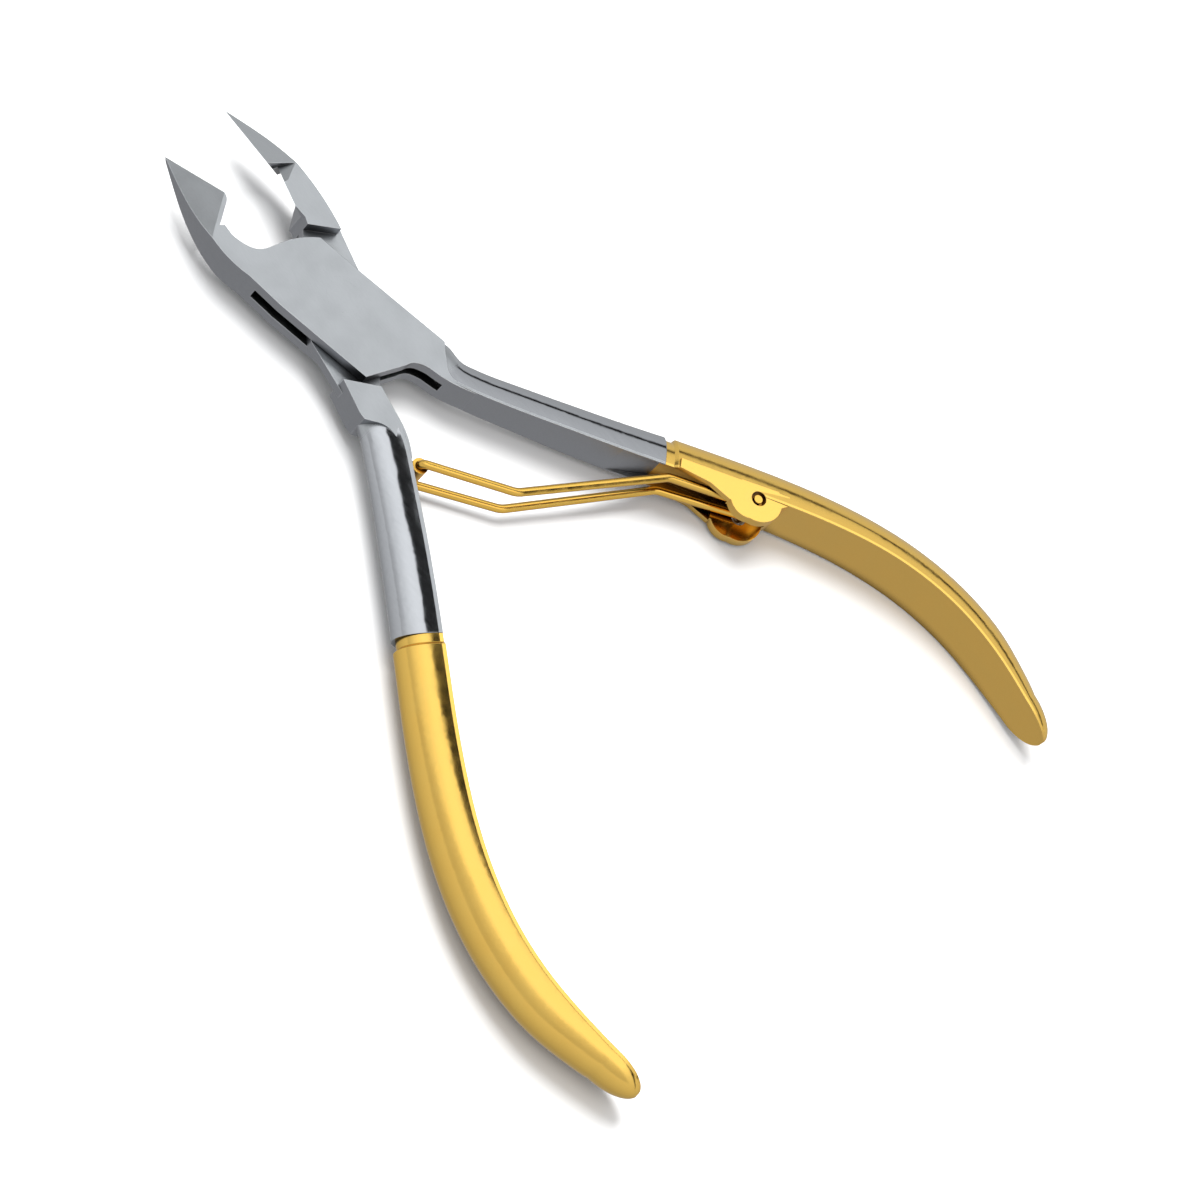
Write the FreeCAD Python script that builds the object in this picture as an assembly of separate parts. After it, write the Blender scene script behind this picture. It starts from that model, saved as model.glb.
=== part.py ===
"""Cuticle nipper with a box joint, plated handles and a wire return spring.

Units are millimetres. The pivot axis is the Z axis and z = 0 is the flat rear face of the box.
+Y points along the jaws, +X is the side of the box lever's handle. The nipper is drawn open.
Each lever is drawn as it lies when the jaws are shut, and is then turned open about the pivot.
"""
import FreeCAD, Part
import math
import os

# Driving dimensions
half_opening = 11.6          # each lever turns this far from shut, degrees
box_thickness = 4.1
tongue_thickness = 1.3
tongue_gap = 0.08            # running gap on each face of the tongue
pin_radius = 2.0
pin_clearance = 0.03         # radial, between the pin and the tongue
edge_offset = 0.3            # the cutting edges meet this far from the pivot's centre line
box_jaw_tip = 24.5           # distance of each blade's tip in front of the pivot
tongue_jaw_tip = 25.2
blade_heel = 17.1            # distance of the blades' back ends
blade_undercut = 35.0        # the blades' inner faces lean back from the edge, degrees
undercut_overlap = 0.6       # the undercut starts this far behind the blades' back ends
tip_height = -0.1            # height of the blade tips, from the middle of the box
rear_tip_height = -0.35      # height of the rear taper at the tips
rear_taper_start = 12.0      # where the jaws' rear faces start to taper
groove_depth = 1.35          # depth of the groove behind the tongue lever's blade
box_flat_set_in = 0.35       # the box lever's flat stands this far inside the flats' common line
tongue_flat_set_in = -0.35
box_land = 0.3               # width of the narrow level strip between a handle's flat and its round back
tongue_land = 0.45
back_edge_turn = 10.0        # where the back's ellipse meets that strip, degrees round the ellipse
land_limit = 0.17            # the strip is never wider than this share of the handle's depth
neck_length = 1.05           # the neck between the bare steel and the full grip
neck_width = 5.35
neck_depth = 4.3
tip_sweep = 78.0             # how far the rounding of a handle's tip goes, degrees
tip_lift = 0.3               # how far the tip's flat lifts toward the back, as a share of the depth lost
set_back_reach = 8.0         # the flat's set-back at the box fades over this length
box_set_back = 0.8
tongue_set_back = 1.7
plating_start = 26.6         # where the plated grips start along the flats
handle_length = 81.9         # length of a handle's flat from the box to its tip
wire_radius = 0.48
roller_radius = 0.95
roller_bore = 0.55
roller_length = 3.7
wire_joint_gap = 0.05        # between a leg of the wire and its cross end, which moves apart from it
wire_joint_inset = 0.05      # how far inside the roller's ends that gap lies
ear_outer = 3.2              # half the width across the ears
ear_inner = 2.05
channel_half = 2.5           # half the width of the spring's channel, away from the ears
ear_radius = 2.85
ear_hole_radius = 0.88
ear_shoulder_radius = 2.3    # the smaller round on the box side of each ear
ear_shoulder_back = 1.1      # its centre from the ear hole, along the flat and out from it
ear_shoulder_out = 0.5
rail_start = 28.2            # the raised rails in front of the ears start here along the flat
rail_rise = 32.0
rail_rise_height = 0.6
rail_end = 41.6
rail_depth = 1.2             # how far the rails and ears reach below the flat
channel_depth = 1.1
channel_run_out = 21.5       # where the channel's floor meets the flat on the box side
channel_start = 26.5         # the floor is level between these two distances
channel_level_end = 28.5
channel_narrow = 34.5        # the channel is narrower from here, between the ears
channel_end = 41.0
channel_foot_back = 1.5      # the steep end of the channel's floor, from the channel's end
channel_foot_depth = 0.2
channel_clear = 9.0          # how far the cutter for the channel stands out from the flat

# The rails' crest beside the ears, from the ear hole: along the flat and out from it
rail_crest = [
    (-3.4, 1.3),
    (0.0, 1.5),
    (1.6, 1.0),
]

half_box = box_thickness / 2
half_tongue = tongue_thickness / 2
half_slot = half_tongue + tongue_gap
box_flat = (box_flat_set_in, box_land)
tongue_flat = (tongue_flat_set_in, tongue_land)
big = 200.0

# The spring's bends, drawn open: pin end in the ears, heel, elbow and roller
ear_centre = (24.45, -45.40)
heel = (18.01, -37.30)
elbow = (0.75, -28.50)
roller_centre = (-6.45, -19.79)
# half the distance between the two legs at each of these places
ear_spread = 1.40
heel_spread = 1.70
elbow_spread = 2.20
roller_spread = 2.45

# The line of a handle's flat for a shut lever, from inside the box to the handle's tip
flat_line = [
    (-0.75, -10.98),
    (2.74, -19.83),
    (9.73, -36.41),
    (17.80, -54.46),
    (20.89, -64.83),
    (21.50, -70.20),
    (21.18, -76.32),
    (19.47, -83.32),
    (16.57, -91.04),
]
flat_start = -3.5            # distance along the flat at the line's first point

# Section sizes along a handle: distance along the flat, width of the flat, depth to the back
box_shank_sizes = [
    (-3.5, 3.6, 5.2),
    (-1.5, 3.7, 5.5),
    (-0.3, 3.85, 5.8),
    (0.6, 4.0, 4.9),
    (2.3, 4.25, 4.05),
    (5.0, 4.4, 3.95),
    (9.0, 4.55, 4.1),
    (16.0, 5.1, 4.35),
    (26.6, 5.45, 4.7),
]
tongue_shank_sizes = [
    (0.0, 3.9, 4.7),
    (1.2, 4.0, 4.7),
    (2.2, 4.1, 4.6),
    (3.5, 4.25, 4.5),
    (9.0, 4.55, 4.5),
    (16.0, 5.1, 4.65),
    (26.6, 5.45, 4.8),
]
grip_sizes = [
    (28.0, 6.0, 4.75),
    (34.0, 6.25, 4.75),
    (42.0, 6.65, 4.7),
    (50.0, 7.05, 4.6),
    (56.0, 7.3, 4.5),
    (62.0, 7.25, 4.4),
    (68.0, 7.0, 4.2),
    (72.0, 6.65, 3.75),
    (77.0, 5.8, 2.85),
]


def point(x, y, z=0.0):
    return FreeCAD.Vector(x, y, z)


def lines(points):
    """Straight edges through the points in turn."""
    ends = [point(*p) for p in points]
    return [Part.makeLine(a, b) for a, b in zip(ends, ends[1:])]


def curve(points):
    """One smooth edge through the points."""
    spline = Part.BSplineCurve()
    spline.interpolate([point(*p) for p in points])
    return [spline.toShape()]


def slab(edges, low, high):
    """A flat solid with this outline, from height low to height high."""
    face = Part.Face(Part.Wire(Part.__sortEdges__(edges)))
    face.translate(point(0, 0, low))
    return face.extrude(point(0, 0, high - low))


def beyond(place, normal):
    """Everything on the far side of a plane, as a large block."""
    block = Part.makeBox(big, big, big, point(-big / 2, -big / 2, 0))
    block.Placement = FreeCAD.Placement(place, FreeCAD.Rotation(point(0, 0, 1), normal))
    return block


def rod(start, end, radius):
    return Part.makeCylinder(radius, (end - start).Length, start, end - start)


def open_out(shape, side):
    """Turns a shut lever to its open position: side 1 for the box lever, -1 for the tongue lever."""
    turned = shape.copy()
    turned.rotate(point(0, 0), point(0, 0, 1), side * half_opening)
    return turned


def flat_path():
    """The flat's line as one smooth curve."""
    spline = Part.BSplineCurve()
    spline.interpolate([point(*p) for p in flat_line])
    return spline


def flat_station(distance, set_in):
    """The point on a handle's flat at a distance along it, and the outward direction there."""
    path = flat_path()
    place = path.parameterAtDistance(max(distance - flat_start, 0.0), path.FirstParameter)
    along = path.tangent(place)[0]
    outward = point(-along.y, along.x)
    return path.value(place) - outward * set_in, outward


def flat_direction(distance):
    _, outward = flat_station(distance, 0.0)
    return point(outward.y, -outward.x)


def d_section(distance, width, depth, lift, flat):
    """A D-shaped section: a flat inner side, a narrow level strip at each edge and a round back."""
    set_in, land = flat
    middle, outward = flat_station(distance, set_in)
    middle = middle + outward * lift
    up = point(0, 0, 1)
    half = width / 2
    land = min(land, land_limit * depth)
    rim = []
    first = math.radians(back_edge_turn)
    for turn in even_steps(first, math.pi - first, 10):
        share = (math.sin(turn) - math.sin(first)) / (1 - math.sin(first))
        rise = math.cos(turn) / math.cos(first)
        rim.append(middle + outward * (land + (depth - land) * share) - up * half * rise)
    back = Part.BSplineCurve()
    back.interpolate(rim)
    low = middle - up * half
    high = middle + up * half
    edges = [
        Part.makeLine(high, low),
        Part.makeLine(low, rim[0]),
        back.toShape(),
        Part.makeLine(rim[-1], high),
    ]
    return Part.Wire(edges)


def blend_sizes(sizes, distance):
    """Width and depth at a distance along the flat, eased between the listed sizes."""
    passed = sum(1 for row in sizes if row[0] <= distance)
    index = min(max(passed - 1, 0), len(sizes) - 2)
    before, after = sizes[index:index + 2]
    gap = after[0] - before[0]
    share = (distance - before[0]) / gap
    ease = share * share * (3 - 2 * share)
    values = []
    for column in (1, 2):
        first_slope = steady_slope(sizes, index, column) * gap
        last_slope = steady_slope(sizes, index + 1, column) * gap
        value = before[column] * (1 - ease) + after[column] * ease
        value += first_slope * share * (1 - share) ** 2 - last_slope * share * share * (1 - share)
        values.append(value)
    return values


def steady_slope(sizes, index, column):
    """The slope at one row of a size table, kept small enough not to overshoot the next rows."""
    near = sizes[max(index - 1, 0):index + 2]
    slopes = [(b[column] - a[column]) / (b[0] - a[0]) for a, b in zip(near, near[1:])]
    if len(slopes) == 1:
        return slopes[0]
    left, right = slopes
    return 2 * left * right / (left + right) if left * right > 0 else 0.0


def even_steps(start, end, count):
    return [start + (end - start) * step / count for step in range(count + 1)]


def loft(sections, flat):
    return Part.makeLoft([d_section(*section, flat) for section in sections], True, False)


def root_set_back(distance, amount):
    """How far the flat stands back from its line close to the box."""
    share = min(1.0, max(0.0, 1 - (distance + 2.0) / set_back_reach))
    return amount * share * share


def shank(sizes, set_back, flat):
    """The bare part of a handle, from inside the box to the plating."""
    sections = []
    for distance in even_steps(sizes[0][0], plating_start, 24):
        width, depth = blend_sizes(sizes, distance)
        lift = root_set_back(distance, set_back)
        sections.append((distance, width, depth - lift, lift))
    return loft(sections, flat)


def grip(flat):
    """The plated grip: a short neck, then the full handle down to its round tip."""
    start, width, depth = grip_sizes[0]
    neck_end = plating_start + neck_length
    neck_section = (neck_width, neck_depth, 0.0)
    neck = loft([(plating_start, *neck_section), (neck_end, *neck_section)], flat)
    step = loft([(neck_end, *neck_section), (start, width, depth, 0.0)], flat)
    round_start = grip_sizes[-1][0]
    body = []
    for distance in even_steps(start, round_start, 18):
        body.append([distance] + blend_sizes(grip_sizes, distance) + [0.0])
    width, depth = body[-1][1:3]
    reach = (handle_length - round_start) / math.sin(math.radians(tip_sweep))
    tip = []
    for turn in even_steps(0.0, math.radians(tip_sweep), 6):
        scale = math.cos(turn)
        lift = depth * (1 - scale) * tip_lift
        tip.append((round_start + reach * math.sin(turn), width * scale, depth * scale, lift))
    return neck.fuse([step, loft(body, flat), loft(tip, flat)])


def bevel_jaw(shape, side, jaw_tip, heel_outer):
    """Grinds the front bevel, the rear taper and the undercut inner face of a blade."""
    tip = point(edge_offset, jaw_tip, tip_height)
    heel_point = point(edge_offset, blade_heel, half_box)
    outer_point = point(*heel_outer, half_box)
    front = (outer_point - heel_point).cross(tip - heel_point)
    shape = shape.cut(beyond(heel_point, front if front.z > 0 else front * -1))
    rear_start = point(0, rear_taper_start, -half_box)
    rear_end = point(0, jaw_tip, rear_tip_height)
    rear = point(1, 0).cross(rear_end - rear_start)
    shape = shape.cut(beyond(rear_start, rear * -1 if rear.z > 0 else rear))
    inner = undercut_normal(side, tip - heel_point)
    undercut_start = blade_heel - undercut_overlap
    in_front = beyond(point(0, undercut_start), point(0, 1))
    return shape.cut(beyond(heel_point, inner).common(in_front))


def undercut_normal(side, along):
    """The direction of an inner face that holds this line and leans back below it."""
    lean = math.radians(blade_undercut)
    down = point(side * math.sin(lean), 0, -math.cos(lean))
    normal = down.cross(along)
    return normal if normal.x * side < 0 else normal * -1


def box_plan():
    """The box and its jaw seen from the front, for the shut lever."""
    outer = [
        (edge_offset, box_jaw_tip),
        (-1.75, 21.6),
        (-3.75, 18.4),
        (-5.3, 14.9),
        (-5.95, 9.2),
        (-6.25, 4.5),
        (-6.15, -7.5),
    ]
    lower = [(-4.3, -8.5), (-1.5, -10.05)]
    root = [(-1.5, -10.05), (-0.3, -10.9), (0.15, -12.0), (0.3, -13.3), (0.5, -14.6)]
    root += [(1.0, -16.35), (1.6, -17.9)]
    tail = [(1.9, -18.2), (1.4, -16.7), (1.2, -15.5), (1.35, -14.4), (2.2, -13.35), (3.1, -12.5)]
    right = [(3.1, -12.5), (4.2, -11.65), (4.0, 0.5), (4.0, 6.0)]
    notch = [(4.0, 6.0), (2.8, 7.2), (1.2, 8.35), (-0.9, 9.3), (-2.5, 10.3), (-3.15, 11.7), (-3.3, 13.5)]
    heel_notch = [(-3.3, 13.5), (-2.95, 14.75), (-3.4, 15.15)]
    throat = [(-3.4, 15.15), (-2.6, 15.4), (-1.2, 15.95), (-0.1, 16.45), (edge_offset, blade_heel)]
    edges = curve(outer[:5]) + lines(outer[4:] + lower) + curve(root) + lines([root[-1], tail[0]])
    edges += curve(tail) + lines(right) + curve(notch) + lines(heel_notch) + curve(throat)
    edges += lines([throat[-1], outer[0]])
    return edges


def slot_plan():
    """The slot through the box that the tongue swings in."""
    corners = [(-12, 7.7), (-4.0, 7.7), (-0.6, 8.2), (0.2, 9.4), (6.0, 11.0), (12, 6.0)]
    corners += [(4.0, -3.6), (3.1, -8.0), (1.9, -11.8)]
    end = [corners[-1], (1.5, -13.0), (1.05, -14.05), (0.2, -14.6), (-1.2, -14.7)]
    return lines(corners) + curve(end) + lines([end[-1], (-12, -12), corners[0]])


def pin_hole(radius):
    return rod(point(0, 0, -half_box), point(0, 0, half_box), radius)


def box_lever():
    """Jaw, box with its slot, and the bare part of the handle."""
    box = slab(box_plan(), -half_box, half_box)
    box = bevel_jaw(box, -1, box_jaw_tip, (-5.3, 14.9))
    lever = box.fuse(shank(box_shank_sizes, box_set_back, box_flat))
    lever = lever.cut(slab(slot_plan(), -half_slot, half_slot))
    lever = lever.cut(spring_channel())
    lever = lever.cut(pin_hole(pin_radius))
    return lever.removeSplitter()


def tongue_jaw():
    """The tongue lever's jaw at full thickness."""
    outer = [(edge_offset, tongue_jaw_tip), (1.65, 22.2), (2.7, 19.5), (3.5, 16.5), (4.0, 13.8)]
    outer += [(4.3, 10.6), (4.25, 7.1)]
    inner = [(0.8, 9.05), (1.0, 9.9), (0.6, 11.6), (1.0, 15.4), (edge_offset, blade_heel)]
    plan = curve(outer) + lines([outer[-1]] + inner + [outer[0]])
    jaw = slab(plan, -half_box, half_box)
    jaw = bevel_jaw(jaw, 1, tongue_jaw_tip, (3.6, 15.9))
    jaw = jaw.cut(heel_groove())
    throat_foot = point(*inner[2], half_box)
    throat = beyond(throat_foot, undercut_normal(1, point(*inner[3], half_box) - throat_foot))
    side_of_box = slab(lines([(-4, 5.4), (8, 17.4), (-4, 17.4), (-4, 5.4)]), -big, big)
    behind_blade = beyond(point(0, blade_heel - undercut_overlap), point(0, -1))
    return jaw.cut(throat.common(side_of_box).common(behind_blade))


def heel_groove():
    """The sloping groove between the back end of the blade's front bevel and the neck of the jaw."""
    outer = (3.45, 16.0)
    inner = (1.5, 14.5)
    bottom = point(edge_offset, blade_heel, half_box - groove_depth)
    slope = (point(*inner, half_box) - point(*outer, half_box)).cross(bottom - point(*outer, half_box))
    slope = slope if slope.z > 0 else slope * -1
    plan = [outer, inner, (-2.0, 14.5), (-2.0, blade_heel), (edge_offset, blade_heel), outer]
    return slab(lines(plan), -half_box, box_thickness).common(beyond(point(*outer, half_box), slope))


def tongue_plan():
    corners = [(0.8, 9.05), (-2.0, 4.6), (-5.6, -3.0), (-5.5, -9.5), (-3.6, -12.0), (-1.3, -11.2)]
    corners += [(3.1, -4.6), (4.4, 2.5), (4.95, 7.4), (4.0, 9.0)]
    return lines(corners + corners[:1])


def shoulder_plan():
    """The full-thickness shoulder below the tongue; its front face narrows to a strip along the flat."""
    inner = [(-1.6, -10.95), (-1.65, -12.4), (-1.7, -14.2), (-1.75, -16.1), (-2.1, -17.8), (-2.85, -19.6)]
    outer = [(-3.75, -19.6), (-3.4, -18.1), (-3.2, -16.8), (-3.4, -15.7), (-3.9, -14.85)]
    outer += [(-4.7, -14.2), (-5.6, -13.5)]
    edges = curve(inner) + lines([inner[-1], outer[0]]) + curve(outer)
    return edges + lines([outer[-1], (-5.7, -12.6), (-5.35, -8.55), inner[0]])


def tongue_lever():
    """Jaw, thin tongue, shoulder and the bare part of the handle."""
    tongue = slab(tongue_plan(), -half_tongue, half_tongue)
    shoulder = slab(shoulder_plan(), -half_box, half_box)
    run = shank(tongue_shank_sizes, tongue_set_back, tongue_flat).mirror(point(0, 0), point(1, 0))
    lever = tongue_jaw().fuse([tongue, shoulder, run])
    lever = lever.cut(pin_hole(pin_radius + pin_clearance))
    return lever.removeSplitter()


def ear_blank():
    """The raised rails and the two lobes that carry the spring, before the channel is cut."""
    centre = ear_local()
    along = flat_direction(rail_rise)
    start, outward = flat_station(rail_start, box_flat_set_in)
    up = point(0, 0, ear_outer)
    lobe = rod(centre - up, centre + up, ear_radius)
    shoulder = centre - along * ear_shoulder_back - outward * ear_shoulder_out
    lobe = lobe.fuse(rod(shoulder - up, shoulder + up, ear_shoulder_radius))
    lobe = lobe.cut(beyond(start + outward * rail_depth, outward))
    rise, _ = flat_station(rail_rise, box_flat_set_in)
    fall, _ = flat_station(rail_end, box_flat_set_in)
    deep = outward * rail_depth
    crest = [centre + along * ahead - outward * out for ahead, out in rail_crest]
    shape = [start + deep, start, rise - outward * rail_rise_height] + crest + [fall, fall + deep]
    ends = [(p.x, p.y) for p in shape]
    rail = slab(lines(ends + ends[:1]), -ear_outer, ear_outer)
    return rail.fuse(lobe)


def ear_local():
    """The ear hole's centre for the shut box lever."""
    centre = Part.Vertex(*ear_centre, 0)
    centre.rotate(point(0, 0), point(0, 0, 1), -half_opening)
    return centre.Point


def spring_channel():
    """The channel between the ears, with a sloping run-out toward the box."""
    end, _ = flat_station(channel_end, box_flat_set_in)
    level_end, outward = flat_station(channel_level_end, box_flat_set_in)
    level_start, _ = flat_station(channel_start, box_flat_set_in)
    run_out, _ = flat_station(channel_run_out, box_flat_set_in)
    narrow_start, _ = flat_station(channel_narrow, box_flat_set_in)
    along = flat_direction(channel_level_end)
    clear = outward * -channel_clear
    deep = outward * channel_depth
    foot = end + outward * channel_foot_depth - along * channel_foot_back
    floor = [end + clear, end, foot, level_end + deep, level_start + deep, run_out, run_out + clear]
    ends = [(p.x, p.y) for p in floor]
    narrow = slab(lines(ends + ends[:1]), -ear_inner, ear_inner)
    wide = slab(lines(ends + ends[:1]), -channel_half, channel_half)
    return narrow.fuse(wide.common(beyond(narrow_start, along * -1)))


def box_grip():
    """The plated grip of the box lever, with its two ears and the spring's channel."""
    body = grip(box_flat).fuse(ear_blank())
    body = body.cut(spring_channel())
    centre = ear_local()
    through = point(0, 0, box_thickness)
    hole = rod(centre - through, centre + through, ear_hole_radius)
    return body.cut(hole).removeSplitter()


def tongue_grip():
    return grip(tongue_flat).mirror(point(0, 0), point(1, 0))


def pivot_pin():
    return pin_hole(pin_radius)


def leg_corners(side):
    """The corners of one leg's middle line, from the ear to inside the roller, with their bend radii."""
    end = point(*roller_centre, side * (roller_length / 2 - wire_joint_inset))
    return [
        (point(*ear_centre, side * (ear_outer - 0.1)), 0.0),
        (point(*ear_centre, side * ear_spread), 0.8),
        (point(*heel, side * heel_spread), 2.0),
        (point(*elbow, side * elbow_spread), 3.0),
        (point(*roller_centre, side * roller_spread), 0.55),
        (end, 0.0),
    ]


def rounded_path(corners):
    """Straight runs joined by an arc of the given radius at each corner."""
    edges = []
    start = corners[0][0]
    for (before, _), (corner, radius), (after, _) in zip(corners, corners[1:], corners[2:]):
        back = (before - corner).normalize()
        ahead = (after - corner).normalize()
        half_angle = back.getAngle(ahead) / 2
        reach = radius / math.tan(half_angle)
        middle = (back + ahead).normalize() * (radius / math.sin(half_angle) - radius)
        arc_start = corner + back * reach
        arc_end = corner + ahead * reach
        edges.append(Part.makeLine(start, arc_start))
        edges.append(Part.Arc(arc_start, corner + middle, arc_end).toShape())
        start = arc_end
    edges.append(Part.makeLine(start, corners[-1][0]))
    return Part.Wire(edges)


def spring_leg(side):
    """One leg of the wire bail, swept along its rounded path."""
    corners = leg_corners(side)
    path = rounded_path(corners)
    heading = corners[1][0] - corners[0][0]
    ring = Part.Wire(Part.Circle(corners[0][0], heading, wire_radius).toShape())
    return path.makePipeShell([ring], True, True)


def spring_legs():
    """Both legs of the wire bail, up to the cross wire inside the roller."""
    return Part.makeCompound([spring_leg(1), spring_leg(-1)])


def spring_cross_wire():
    """The straight end of the wire that the roller turns on."""
    half = roller_length / 2 - wire_joint_inset - wire_joint_gap
    return rod(point(*roller_centre, -half), point(*roller_centre, half), wire_radius)


def spring_roller():
    low = point(*roller_centre, -roller_length / 2)
    high = point(*roller_centre, roller_length / 2)
    return rod(low, high, roller_radius).cut(rod(low, high, roller_bore))


def save(name, shape):
    """Writes one piece, lifted so that the box's rear face lies at z = 0."""
    placed = shape.copy()
    placed.translate(point(0, 0, half_box))
    print(name, placed.isValid(), len(placed.Solids), round(placed.Volume, 2))
    placed.exportStep("parts/" + name + ".step")


os.makedirs("parts", exist_ok=True)
save("box_lever", open_out(box_lever(), 1))
save("box_grip", open_out(box_grip(), 1))
save("tongue_lever", open_out(tongue_lever(), -1))
save("tongue_grip", open_out(tongue_grip(), -1))
save("pivot_pin", pivot_pin())
save("spring_legs", spring_legs())
save("spring_cross_wire", spring_cross_wire())
save("spring_roller", spring_roller())
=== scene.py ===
"""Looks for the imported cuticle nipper: materials, the sprung wire, lights, floor and camera.

Everything is in metres in the model's frame: pivot on Z, jaws toward +Y, and the rear face of the
box at z = 0.
"""
import math

import bpy
from mathutils import Matrix, Vector


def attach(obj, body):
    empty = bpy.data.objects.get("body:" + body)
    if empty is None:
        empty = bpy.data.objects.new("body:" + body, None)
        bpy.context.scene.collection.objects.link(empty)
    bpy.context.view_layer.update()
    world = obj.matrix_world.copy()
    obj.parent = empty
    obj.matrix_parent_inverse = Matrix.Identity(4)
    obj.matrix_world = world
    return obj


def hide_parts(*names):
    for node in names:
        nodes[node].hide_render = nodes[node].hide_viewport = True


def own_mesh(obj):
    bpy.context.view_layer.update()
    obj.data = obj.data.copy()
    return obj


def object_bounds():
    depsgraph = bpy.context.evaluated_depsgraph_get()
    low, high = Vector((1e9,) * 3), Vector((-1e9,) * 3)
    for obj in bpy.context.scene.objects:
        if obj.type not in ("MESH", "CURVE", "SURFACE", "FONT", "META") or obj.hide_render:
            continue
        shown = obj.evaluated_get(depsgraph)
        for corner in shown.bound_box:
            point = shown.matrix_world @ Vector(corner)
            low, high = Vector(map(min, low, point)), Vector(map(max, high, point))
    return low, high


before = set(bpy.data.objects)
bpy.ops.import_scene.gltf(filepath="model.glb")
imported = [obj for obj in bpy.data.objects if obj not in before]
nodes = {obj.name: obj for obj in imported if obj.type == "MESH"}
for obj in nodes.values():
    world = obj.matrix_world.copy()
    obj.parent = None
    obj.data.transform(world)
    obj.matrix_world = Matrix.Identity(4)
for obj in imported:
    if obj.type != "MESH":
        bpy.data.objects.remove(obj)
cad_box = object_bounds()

MM = 0.001

# Camera, as seen from the box lever's back and above
TARGET = Vector((1.65, -43.1, 1.90)) * MM
AZIMUTH = -85.6
ELEVATION = 55.0
ROLL = 46.3
DISTANCE = 688.4 * MM
LENS = 190.0
SENSOR = 36.0
CLIP_START = 0.01

# Where the spring wire runs, as in the model
EAR = (24.45, -45.40)
HEEL = (18.01, -37.30)
ELBOW = (0.75, -28.50)
ROLLER = (-6.45, -19.79)
MID_HEIGHT = 2.05
WIRE_RADIUS = 0.50               # the model's own wire is 0.48
# How far each leg lies from the middle height at each of these places, and the bends' radii there
EAR_END = 3.10
EAR_SPREAD = 1.40
HEEL_SPREAD = 1.70
ELBOW_SPREAD = 2.20
ROLLER_SPREAD = 2.45
ROLLER_END = 1.80
EAR_BEND = 0.8
HEEL_BEND = 2.0
ELBOW_BEND = 3.0
ROLLER_BEND = 0.55
ARC_STEPS = 12                   # steps along each bend
WIRE_SIDES = 32                  # sides round the wire

# From a handle's flat to its round back
BOX_OUTWARD = (0.87, 0.50, 0.0)
TONGUE_OUTWARD = (-0.87, 0.50, 0.0)
BACK_START = -13.0               # the backs are polished from here on, in millimetres along Y
BACK_FADE = 1.0

# Studio dome: brightness by the height of the direction, from straight down to straight up
DOME_LEVELS = (
    (-1.0, 0.40),
    (-0.8, 0.43),
    (-0.6, 0.50),
    (-0.2, 0.60),
    (0.37, 0.72),
    (0.6, 0.81),
    (0.77, 0.98),
    (0.89, 1.22),
    (1.0, 1.2),
)
FAR_SHADE = 0.26                 # how much darker the dome is in a patch at -X
FAR_SIDE = (-0.22, -0.45)        # the patch fades in over these values of x
FAR_HEIGHTS = (0.42, 0.90)
NEAR_LIFT = 0.24                 # how much brighter it is in a patch high at +X
NEAR_SIDE = (0.40, 0.55)
NEAR_HEIGHTS = (0.74, 0.92)
STRIP_SLOPES = (0.23, 0.50)      # the dark strip lies between these slopes of x over height
LOW_BAND = (0.25, 0.37)          # the dark low band at +X lies between these heights
LOW_BAND_SIDE = (0.5, 0.7)
FAR_SOFT = 0.05                  # how softly these patches, the strip and the band end
NEAR_SOFT = 0.04
STRIP_SOFT = 0.01
LOW_BAND_SOFT = 0.03
DARKNESS = 0.98                  # how much darker the strip and the band are than the dome
LEAST_HEIGHT = 0.02              # slopes are taken over at least this height
DOME_TINT = (0.985, 0.99, 1.0, 1.0)
BACKDROP_LEVEL = 1.0             # the camera sees this plain level in place of the dome

# The lamp over the floor; metals do not reflect it
KEY_PLACE = (0.19, 0.20, 0.50)
KEY_SIZE = 0.45
KEY_POWER = 5.6

FLOOR_HALF = 1.5
FLOOR_TONE = (0.9, 0.9, 0.9, 1.0)
FLOOR_ROUGHNESS = 0.9
FLOOR_GLOSS = 0.1
FLOOR_GAP = 0.05 * MM            # the floor lies this far below the nipper

# Which way a face's normal turns for each finish and for each painted shade, with soft limits
WALL_SHADE_TURN = (0.45, 0.15)         # its upward share, from ground face to wall darkened with painted shade
BACK_TURN = (0.03, 0.07)         # its outward share, from ground face to polished back
SATIN_TURN = (-0.3, -0.5)        # its outward share, from polished gold to satin gold
UNDERSIDE_SHADE_TURN = (0.2, -0.5)     # its upward share, from the wire's top to its underside, browned with painted shade

STEEL_WEAR_AND_HIGHLIGHT = 0.14 * MM           # how wide the worn edges, with their painted highlight, are
GOLD_WEAR_AND_HIGHLIGHT = 0.12 * MM
STEEL_GRAIN = 0.0012 * MM        # how deep the surface grain is
GOLD_GRAIN = 0.0008 * MM
EDGE_SAMPLES = 6
# Painted shade in recesses, from an ambient occlusion node
RECESS_SAMPLES = 8
RECESS_OPEN = (0.86, 0.42)       # painted shade darkens recesses as their openness falls between these
RECESS_REACH = 2.4 * MM          # painted shade darkens recesses where walls stand nearer than this
RECESS_SHADE = 0.85              # how far the deepest recesses go toward their painted shade tone
BEVEL_RADIUS = 0.09 * MM         # how round the edges are shaded
PIN_EDGE = (2.4 * MM, 3.2 * MM)  # edges are rounded, worn and lit with painted highlight only beyond this far from the pivot
EDGE_LIKENESS = (0.995, 0.85)    # an edge is worn, with painted highlight, as bevelled and real normals part by this much

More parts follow.
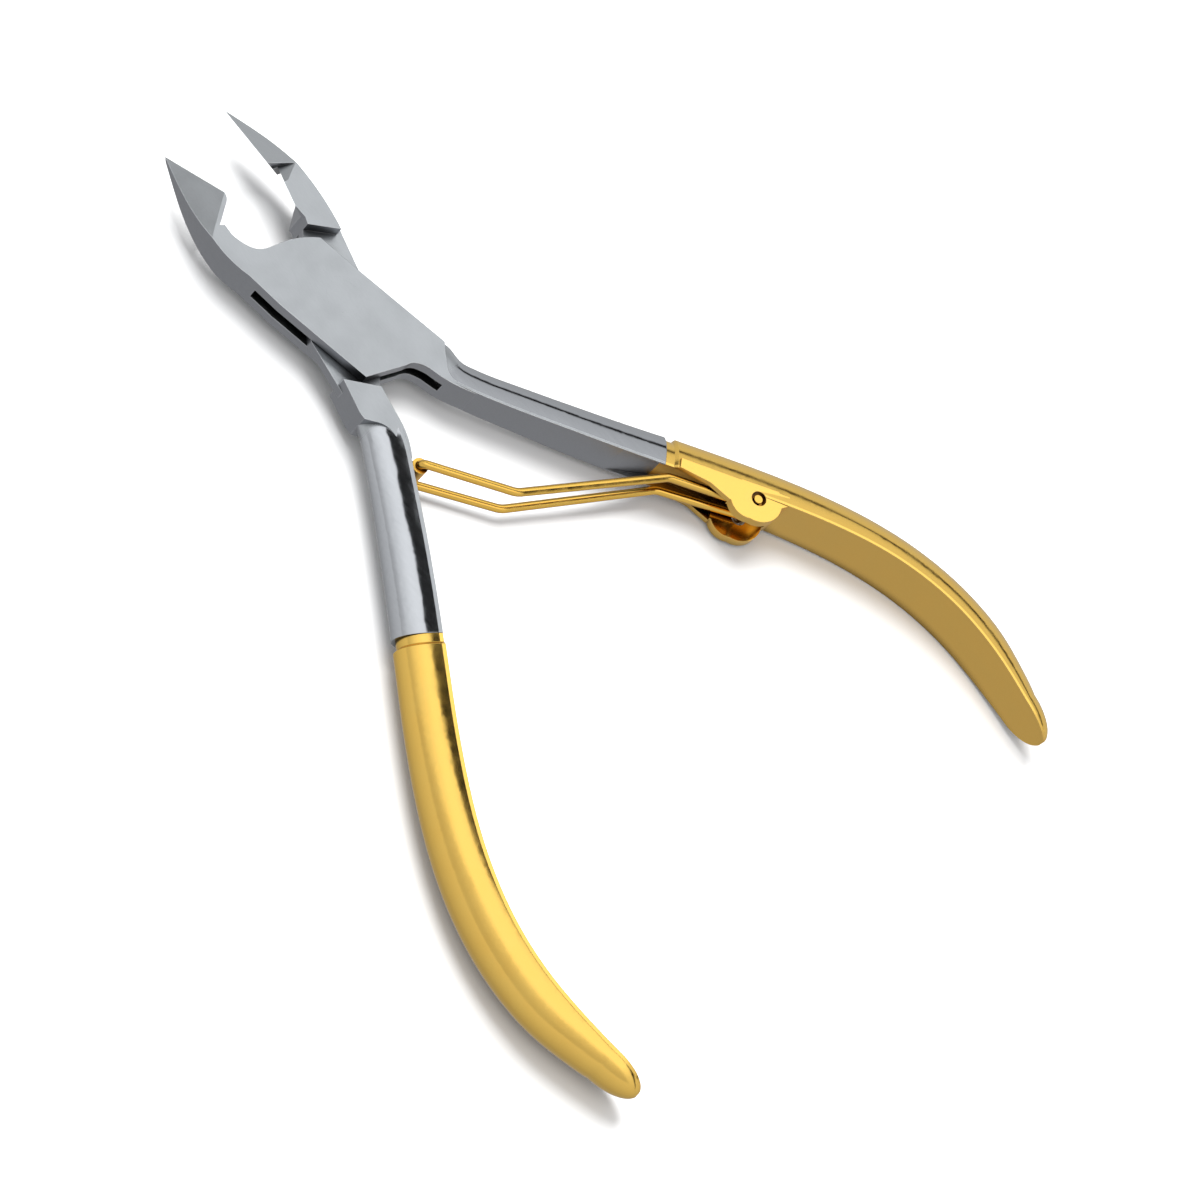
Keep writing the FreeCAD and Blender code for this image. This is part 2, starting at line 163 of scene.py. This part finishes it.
# Grain, streaks and clouds: turns in degrees, and scales per metre
GRIND_TURN = -20
GRIND_SCALE = (9000.0, 1100.0, 9000.0)
STREAK_TURN = 13
STREAK_SCALE = (2600.0, 260.0, 2600.0)
STEEL_CLOUD = 350.0
GOLD_CLOUD = 420.0
WIRE_CLOUD = 900.0
GOLD_FINE = 7000.0
WIRE_FINE = 5000.0
CLOUD_SPAN = (0.3, 0.7)          # noise values that the roughness is spread over
STREAK_SPAN = (0.2, 0.8)

# Roughness of each finish, smoothest and roughest, and what alters it
GROUND_ROUGHNESS = (0.29, 0.34)
POLISH_ROUGHNESS = (0.07, 0.11)
GOLD_ROUGHNESS = (0.12, 0.18)
WIRE_ROUGHNESS = (0.13, 0.22)
GRAIN_ROUGHER = 0.05
SATIN_ROUGHER = 0.24
WORN_SMOOTHER = 0.12

STEEL_HIGHLIGHT_SHARE = 0.75          # how far worn edges go toward the painted highlight tone
GOLD_HIGHLIGHT_SHARE = 0.4
UNDERSIDE_SHADE_SHARE = 0.55           # how far the wire's underside goes toward its painted shade tone


# ---------------------------------------------------------------- node helpers

class Tree:
    """A short way to write node trees."""

    def __init__(self, tree):
        self.tree = tree
        tree.nodes.clear()

    def add(self, kind, **settings):
        node = self.tree.nodes.new(kind)
        for name, value in settings.items():
            setattr(node, name, value)
        return node

    def link(self, source, target):
        self.tree.links.new(source, target)

    def feed(self, socket, value):
        if isinstance(value, bpy.types.NodeSocket):
            self.link(value, socket)
        else:
            socket.default_value = value

    def math(self, operation, a, b=0.0):
        node = self.add("ShaderNodeMath", operation=operation)
        self.feed(node.inputs[0], a)
        self.feed(node.inputs[1], b)
        return node.outputs[0]

    def vector(self, operation, a, b):
        node = self.add("ShaderNodeVectorMath", operation=operation)
        self.feed(node.inputs[0], a)
        self.feed(node.inputs[1], b)
        return node.outputs["Value" if operation in ("DOT_PRODUCT", "LENGTH") else 0]

    def range(self, value, low, high, to_low=0.0, to_high=1.0, smooth=True):
        easing = "SMOOTHSTEP" if smooth else "LINEAR"
        node = self.add("ShaderNodeMapRange", interpolation_type=easing)
        self.feed(node.inputs["Value"], value)
        limits = {"From Min": low, "From Max": high, "To Min": to_low, "To Max": to_high}
        for name, number in limits.items():
            node.inputs[name].default_value = number
        return node.outputs["Result"]

    def mix(self, share, a, b):
        node = self.add("ShaderNodeMix", data_type="RGBA")
        self.feed(node.inputs["Factor"], share)
        self.feed(node.inputs["A"], a)
        self.feed(node.inputs["B"], b)
        return node.outputs["Result"]

    def noise(self, vector, scale, detail=2.0, roughness=0.5):
        node = self.add("ShaderNodeTexNoise")
        self.feed(node.inputs["Vector"], vector)
        node.inputs["Scale"].default_value = scale
        node.inputs["Detail"].default_value = detail
        node.inputs["Roughness"].default_value = roughness
        return node.outputs["Fac"]

    def scaled(self, vector, rotation, scale):
        node = self.add("ShaderNodeMapping")
        self.feed(node.inputs["Vector"], vector)
        node.inputs["Rotation"].default_value = rotation
        node.inputs["Scale"].default_value = scale
        return node.outputs["Vector"]


def rgb(red, green, blue):
    """A linear colour from its 0-255 display values."""
    def linear(value):
        share = value / 255
        return share / 12.92 if share <= 0.04045 else ((share + 0.055) / 1.055) ** 2.4
    return (linear(red), linear(green), linear(blue), 1.0)


# ---------------------------------------------------------------- materials

# Tones of each finish, darkest and lightest where there are two, and tones of painted shade and
# painted highlight
STEEL_FACE = (rgb(186, 190, 193), rgb(200, 204, 207))
# painted shade on upright walls
STEEL_WALL_SHADED = (rgb(160, 162, 167), rgb(178, 180, 185))
# painted highlight on the steel's worn edges
STEEL_HIGHLIGHT = rgb(240, 243, 245)
# painted shade in the steel's recesses
STEEL_PAINTED_SHADE = rgb(22, 22, 24)
BOX_POLISH = (rgb(174, 177, 181), rgb(184, 187, 191))
TONGUE_POLISH = (rgb(192, 195, 199), rgb(202, 205, 209))
GOLD_BRIGHT = (rgb(254, 206, 102), rgb(255, 213, 112))
GOLD_SATIN = (rgb(248, 200, 104), rgb(255, 210, 112))
# painted highlight on the gold's worn edges
GOLD_HIGHLIGHT = rgb(255, 224, 136)
# painted shade in the gold's recesses
GOLD_PAINTED_SHADE = rgb(70, 34, 10)
WIRE_BRIGHT = (rgb(244, 194, 88), rgb(254, 208, 106))
# painted shade on the wire's underside
WIRE_UNDERSIDE_SHADE = rgb(176, 108, 30)
# painted shade in the wire's recesses
WIRE_PAINTED_SHADE = rgb(84, 42, 12)


def metal(name, build):
    """A metal whose colour, roughness and bump come from build(tree, place, normal)."""
    material = bpy.data.materials.new(name)
    material.use_nodes = True
    tree = Tree(material.node_tree)
    coordinates = tree.add("ShaderNodeTexCoord")
    place = coordinates.outputs["Object"]
    colour, roughness, height, depth = build(tree, place, coordinates.outputs["Normal"])
    shader = tree.add("ShaderNodeBsdfPrincipled")
    shader.inputs["Metallic"].default_value = 1.0
    bump = tree.add("ShaderNodeBump")
    bump.inputs["Strength"].default_value = 1.0
    bump.inputs["Distance"].default_value = depth
    tree.feed(bump.inputs["Height"], height)
    bevel = tree.add("ShaderNodeBevel", samples=EDGE_SAMPLES)
    clear_of_pin = tree.range(from_pivot(tree, place), *PIN_EDGE, 0.0, BEVEL_RADIUS)
    tree.link(clear_of_pin, bevel.inputs["Radius"])
    tree.link(bevel.outputs["Normal"], bump.inputs["Normal"])
    tree.feed(shader.inputs["Base Color"], colour)
    tree.feed(shader.inputs["Roughness"], roughness)
    tree.link(bump.outputs["Normal"], shader.inputs["Normal"])
    output = tree.add("ShaderNodeOutputMaterial")
    tree.link(shader.outputs["BSDF"], output.inputs["Surface"])
    return material


def from_pivot(tree, place):
    """Distance from the pivot's axis."""
    across = tree.vector("MULTIPLY", place, (1.0, 1.0, 0.0))
    return tree.vector("LENGTH", across, (0.0, 0.0, 0.0))


def edge_wear_and_highlight(tree, radius):
    """0 on open faces, rising to 1 on outer and inner edges, which are worn and get painted
    highlight.
    """
    bevel = tree.add("ShaderNodeBevel", samples=EDGE_SAMPLES)
    bevel.inputs["Radius"].default_value = radius
    geometry = tree.add("ShaderNodeNewGeometry")
    alike = tree.vector("DOT_PRODUCT", bevel.outputs["Normal"], geometry.outputs["Normal"])
    return tree.range(alike, *EDGE_LIKENESS)


def grain(tree, place):
    """Fine satin grain, drawn out along the direction of grinding."""
    along = tree.scaled(place, (0.0, 0.0, math.radians(GRIND_TURN)), GRIND_SCALE)
    return tree.noise(along, 1.0, 3.0, 0.6)


def between(tree, value, low, high, soft):
    """1 where the value lies between low and high, with soft ends."""
    above = tree.range(value, low - soft, low + soft)
    below = tree.range(value, high + soft, high - soft)
    return tree.math("MULTIPLY", above, below)


def painted_recess_shade(tree, colour, shade_tone):
    """The colour, darkened toward the shade tone in narrow recesses: painted shade, where shade
    falls.
    """
    shade = tree.add("ShaderNodeAmbientOcclusion", samples=RECESS_SAMPLES)
    shade.inputs["Distance"].default_value = RECESS_REACH
    depth = tree.range(shade.outputs["AO"], *RECESS_OPEN)
    return tree.mix(tree.math("MULTIPLY", depth, RECESS_SHADE), colour, shade_tone)


def steel(tree, place, normal, outward, polished):
    """Satin ground faces, and ground walls darkened with painted shade; the rounded back of the
    handle is polished.

    The outward direction is the one from a handle's flat to its back, and the polished tones are
    the back's darkest and lightest.
    """
    up = tree.math("ABSOLUTE", tree.vector("DOT_PRODUCT", normal, (0.0, 0.0, 1.0)))
    wall_shade = tree.range(up, *WALL_SHADE_TURN)
    across = tree.vector("DOT_PRODUCT", normal, outward)
    along = tree.vector("DOT_PRODUCT", place, (0.0, 1.0, 0.0))
    on_handle = tree.range(along, BACK_START * MM, (BACK_START - BACK_FADE) * MM)
    back = tree.math("MULTIPLY", on_handle, tree.range(across, *BACK_TURN))
    fine = grain(tree, place)
    cloud = tree.noise(place, STEEL_CLOUD)
    face = tree.mix(fine, *STEEL_FACE)
    side = tree.mix(fine, *STEEL_WALL_SHADED)
    # painted shade: upright walls take the darker tones
    colour = tree.mix(wall_shade, face, side)
    # worn edges: painted highlight in the colour, and smoother, as real wear
    edge = edge_wear_and_highlight(tree, STEEL_WEAR_AND_HIGHLIGHT)
    edge = tree.math("MULTIPLY", edge, tree.range(from_pivot(tree, place), *PIN_EDGE))
    colour = tree.mix(tree.math("MULTIPLY", edge, STEEL_HIGHLIGHT_SHARE), colour, STEEL_HIGHLIGHT)
    drawn = tree.scaled(place, (0.0, 0.0, math.radians(STREAK_TURN)), STREAK_SCALE)
    streak = tree.noise(drawn, 1.0)
    bright = tree.mix(streak, *polished)
    # painted shade in recesses
    colour = painted_recess_shade(tree, tree.mix(back, colour, bright), STEEL_PAINTED_SHADE)
    uneven = tree.range(cloud, *CLOUD_SPAN, *GROUND_ROUGHNESS)
    satin = tree.math("ADD", uneven, tree.math("MULTIPLY", fine, GRAIN_ROUGHER))
    satin = tree.math("SUBTRACT", satin, tree.math("MULTIPLY", edge, WORN_SMOOTHER))
    polish = tree.range(streak, *STREAK_SPAN, *POLISH_ROUGHNESS)
    ground = tree.math("SUBTRACT", 1.0, back)
    satin = tree.math("MULTIPLY", satin, ground)
    roughness = tree.math("ADD", satin, tree.math("MULTIPLY", polish, back))
    height = tree.math("MULTIPLY", fine, ground)
    return colour, roughness, height, STEEL_GRAIN


def box_steel(tree, place, normal):
    return steel(tree, place, normal, BOX_OUTWARD, BOX_POLISH)


def tongue_steel(tree, place, normal):
    return steel(tree, place, normal, TONGUE_OUTWARD, TONGUE_POLISH)


def gold(tree, place, normal, outward):
    """Polished gold; the inner flat and the spring's channel are satin."""
    satin = tree.range(tree.vector("DOT_PRODUCT", normal, outward), *SATIN_TURN)
    cloud = tree.noise(place, GOLD_CLOUD, 3.0)
    fine = tree.noise(place, GOLD_FINE)
    bright = tree.mix(cloud, *GOLD_BRIGHT)
    dull = tree.mix(fine, *GOLD_SATIN)
    colour = tree.mix(satin, bright, dull)
    # worn edges: painted highlight in the colour
    edge = edge_wear_and_highlight(tree, GOLD_WEAR_AND_HIGHLIGHT)
    colour = tree.mix(tree.math("MULTIPLY", edge, GOLD_HIGHLIGHT_SHARE), colour, GOLD_HIGHLIGHT)
    # painted shade in recesses
    colour = painted_recess_shade(tree, colour, GOLD_PAINTED_SHADE)
    polished = tree.range(cloud, *CLOUD_SPAN, *GOLD_ROUGHNESS)
    roughness = tree.math("ADD", polished, tree.math("MULTIPLY", satin, SATIN_ROUGHER))
    return colour, roughness, fine, GOLD_GRAIN


def box_gold(tree, place, normal):
    return gold(tree, place, normal, BOX_OUTWARD)


def tongue_gold(tree, place, normal):
    return gold(tree, place, normal, TONGUE_OUTWARD)


def gold_wire(tree, place, normal):
    """Drawn wire: polished gold with a fine uneven surface, browner underneath with painted
    shade.
    """
    cloud = tree.noise(place, WIRE_CLOUD, 3.0)
    fine = tree.noise(place, WIRE_FINE)
    colour = tree.mix(cloud, *WIRE_BRIGHT)
    # painted shade: the underside is browner
    up = tree.vector("DOT_PRODUCT", normal, (0.0, 0.0, 1.0))
    underside_shade = tree.range(up, *UNDERSIDE_SHADE_TURN)
    colour = tree.mix(tree.math("MULTIPLY", underside_shade, UNDERSIDE_SHADE_SHARE), colour, WIRE_UNDERSIDE_SHADE)
    # painted shade in recesses
    colour = painted_recess_shade(tree, colour, WIRE_PAINTED_SHADE)
    roughness = tree.range(cloud, *CLOUD_SPAN, *WIRE_ROUGHNESS)
    return colour, roughness, fine, GOLD_GRAIN


def dress(name, material):
    data = nodes[name].data
    data.materials.clear()
    data.materials.append(material)


# ---------------------------------------------------------------- the spring wire

def leg_corners(side):
    """Corners of one leg's middle line, each with its bend radius, in millimetres."""
    def corner(place, spread, radius):
        return Vector((place[0], place[1], MID_HEIGHT + side * spread)), radius
    return [
        corner(EAR, EAR_END, 0.0),
        corner(EAR, EAR_SPREAD, EAR_BEND),
        corner(HEEL, HEEL_SPREAD, HEEL_BEND),
        corner(ELBOW, ELBOW_SPREAD, ELBOW_BEND),
        corner(ROLLER, ROLLER_SPREAD, ROLLER_BEND),
        corner(ROLLER, ROLLER_END, 0.0),
    ]


def rounded_line(corners):
    """Points along the line, with an arc at each inner corner."""
    places = [corners[0][0]]
    for (before, _), (corner, radius), (after, _) in zip(corners, corners[1:], corners[2:]):
        back = (before - corner).normalized()
        ahead = (after - corner).normalized()
        half = back.angle(ahead) / 2
        centre = corner + (back + ahead).normalized() * (radius / math.sin(half))
        start = corner + back * (radius / math.tan(half)) - centre
        end = corner + ahead * (radius / math.tan(half)) - centre
        for step in range(ARC_STEPS + 1):
            places.append(centre + start.slerp(end, step / ARC_STEPS).normalized() * radius)
    places.append(corners[-1][0])
    return places


def tube(places, radius, sides):
    """Vertices and faces of a closed round tube along the places, in metres."""
    vertices = []
    faces = []
    reference = Vector((1.0, 0.0, 0.0))
    for index, place in enumerate(places):
        before = places[max(index - 1, 0)]
        after = places[min(index + 1, len(places) - 1)]
        along = (after - before).normalized()
        reference = (reference - along * reference.dot(along)).normalized()
        other = along.cross(reference)
        for step in range(sides):
            turn = 2 * math.pi * step / sides
            spoke = reference * math.cos(turn) + other * math.sin(turn)
            vertices.append((place + spoke * radius) * MM)
    for ring in range(len(places) - 1):
        for step in range(sides):
            here = ring * sides + step
            ahead = ring * sides + (step + 1) % sides
            faces.append((here, ahead, ahead + sides, here + sides))
    faces.append(tuple(reversed(range(sides))))
    faces.append(tuple(range(len(vertices) - sides, len(vertices))))
    return vertices, faces


def wire_leg(name, side):
    vertices, faces = tube(rounded_line(leg_corners(side)), WIRE_RADIUS, WIRE_SIDES)
    mesh = bpy.data.meshes.new(name)
    mesh.from_pydata(vertices, [], faces)
    for polygon in mesh.polygons:
        polygon.use_smooth = len(polygon.vertices) == 4
    leg = bpy.data.objects.new(name, mesh)
    bpy.context.scene.collection.objects.link(leg)
    return leg


def spring_wire(material):
    """Both legs of the wire, attached to the spring's bail in place of the model's own legs,
    which are hidden.
    """
    for name, side in (("wire_front", 1), ("wire_rear", -1)):
        leg = wire_leg(name, side)
        leg.data.materials.append(material)
        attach(leg, "spring_bail")
        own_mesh(leg)
        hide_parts("spring_legs")


# ---------------------------------------------------------------- studio

def camera():
    azimuth = math.radians(AZIMUTH)
    elevation = math.radians(ELEVATION)
    level = math.cos(elevation)
    back = Vector((math.sin(azimuth) * level, -math.cos(azimuth) * level, math.sin(elevation)))
    right = Vector((0.0, 0.0, 1.0)).cross(back).normalized()
    up = back.cross(right)
    roll = math.radians(ROLL)
    x_axis = right * math.cos(roll) + up * math.sin(roll)
    y_axis = up * math.cos(roll) - right * math.sin(roll)
    data = bpy.data.cameras.new("camera")
    data.lens = LENS
    data.sensor_width = SENSOR
    data.clip_start = CLIP_START
    view = bpy.data.objects.new("camera", data)
    place = TARGET + back * DISTANCE
    turn = Matrix((x_axis, y_axis, back)).transposed().to_4x4()
    view.matrix_world = Matrix.Translation(place) @ turn
    bpy.context.scene.collection.objects.link(view)
    bpy.context.scene.camera = view


def floor():
    height = cad_box[0].z - FLOOR_GAP
    mesh = bpy.data.meshes.new("floor")
    signs = ((-1, -1), (1, -1), (1, 1), (-1, 1))
    corners = [(x * FLOOR_HALF, y * FLOOR_HALF, height) for x, y in signs]
    mesh.from_pydata(corners, [], [(0, 1, 2, 3)])
    plane = bpy.data.objects.new("floor", mesh)
    bpy.context.scene.collection.objects.link(plane)
    material = bpy.data.materials.new("floor_white")
    material.use_nodes = True
    shader = material.node_tree.nodes["Principled BSDF"]
    shader.inputs["Base Color"].default_value = FLOOR_TONE
    shader.inputs["Roughness"].default_value = FLOOR_ROUGHNESS
    shader.inputs["Specular IOR Level"].default_value = FLOOR_GLOSS
    mesh.materials.append(material)
    plane.visible_glossy = False


def lamp():
    """A round soft lamp, which gives the shadow on the floor."""
    data = bpy.data.lights.new("key", "AREA")
    data.shape = "DISK"
    data.size = KEY_SIZE
    data.energy = KEY_POWER
    light = bpy.data.objects.new("key", data)
    light.location = KEY_PLACE
    light.rotation_euler = (TARGET - Vector(KEY_PLACE)).to_track_quat("-Z", "Y").to_euler()
    light.visible_glossy = False
    bpy.context.scene.collection.objects.link(light)


def sky():
    """A pale dome, brightest high up, with a dark strip overhead and a dark low band at +X.

    The metals reflect the dome. The camera sees a plain backdrop in its place.
    """
    world = bpy.data.worlds.new("studio")
    world.use_nodes = True
    tree = Tree(world.node_tree)
    direction = tree.add("ShaderNodeTexCoord").outputs["Generated"]
    split = tree.add("ShaderNodeSeparateXYZ")
    tree.link(direction, split.inputs[0])
    x, _, z = split.outputs
    dome = DOME_LEVELS[0][1]
    for (low, level), (high, next_level) in zip(DOME_LEVELS, DOME_LEVELS[1:]):
        step = tree.range(z, low, high, 0.0, next_level - level, smooth=False)
        dome = tree.math("ADD", dome, step)
    far = between(tree, z, *FAR_HEIGHTS, FAR_SOFT)
    far = tree.math("MULTIPLY", tree.range(x, *FAR_SIDE), far)
    shade = tree.math("SUBTRACT", 1.0, tree.math("MULTIPLY", far, FAR_SHADE))
    dome = tree.math("MULTIPLY", dome, shade)
    near = between(tree, z, *NEAR_HEIGHTS, NEAR_SOFT)
    near = tree.math("MULTIPLY", tree.range(x, *NEAR_SIDE), near)
    lift = tree.math("ADD", 1.0, tree.math("MULTIPLY", near, NEAR_LIFT))
    dome = tree.math("MULTIPLY", dome, lift)
    slope = tree.math("DIVIDE", x, tree.math("MAXIMUM", z, LEAST_HEIGHT))
    strip = between(tree, slope, *STRIP_SLOPES, STRIP_SOFT)
    low_band = between(tree, z, *LOW_BAND, LOW_BAND_SOFT)
    low_band = tree.math("MULTIPLY", low_band, tree.range(x, *LOW_BAND_SIDE))
    dark = tree.math("MULTIPLY", tree.math("MAXIMUM", strip, low_band), DARKNESS)
    level = tree.math("MULTIPLY", dome, tree.math("SUBTRACT", 1.0, dark))
    seen = tree.add("ShaderNodeLightPath").outputs["Is Camera Ray"]
    plain = tree.math("MULTIPLY", seen, tree.math("SUBTRACT", BACKDROP_LEVEL, level))
    level = tree.math("ADD", level, plain)
    background = tree.add("ShaderNodeBackground")
    background.inputs["Color"].default_value = DOME_TINT
    tree.link(level, background.inputs["Strength"])
    output = tree.add("ShaderNodeOutputWorld")
    tree.link(background.outputs[0], output.inputs[0])
    bpy.context.scene.world = world


# ---------------------------------------------------------------- build

steel_box = metal("satin_steel", box_steel)
steel_tongue = metal("satin_steel_tongue", tongue_steel)
gold_box = metal("gold_plate", box_gold)
gold_tongue = metal("gold_plate_tongue", tongue_gold)
wire = metal("gold_wire", gold_wire)
dress("box_lever", steel_box)
dress("pivot_pin", steel_box)
dress("tongue_lever", steel_tongue)
dress("box_grip", gold_box)
dress("tongue_grip", gold_tongue)
dress("spring_cross_wire", wire)
dress("spring_roller", wire)
spring_wire(wire)
floor()
sky()
lamp()
camera()
bpy.context.scene.view_settings.view_transform = "Standard"
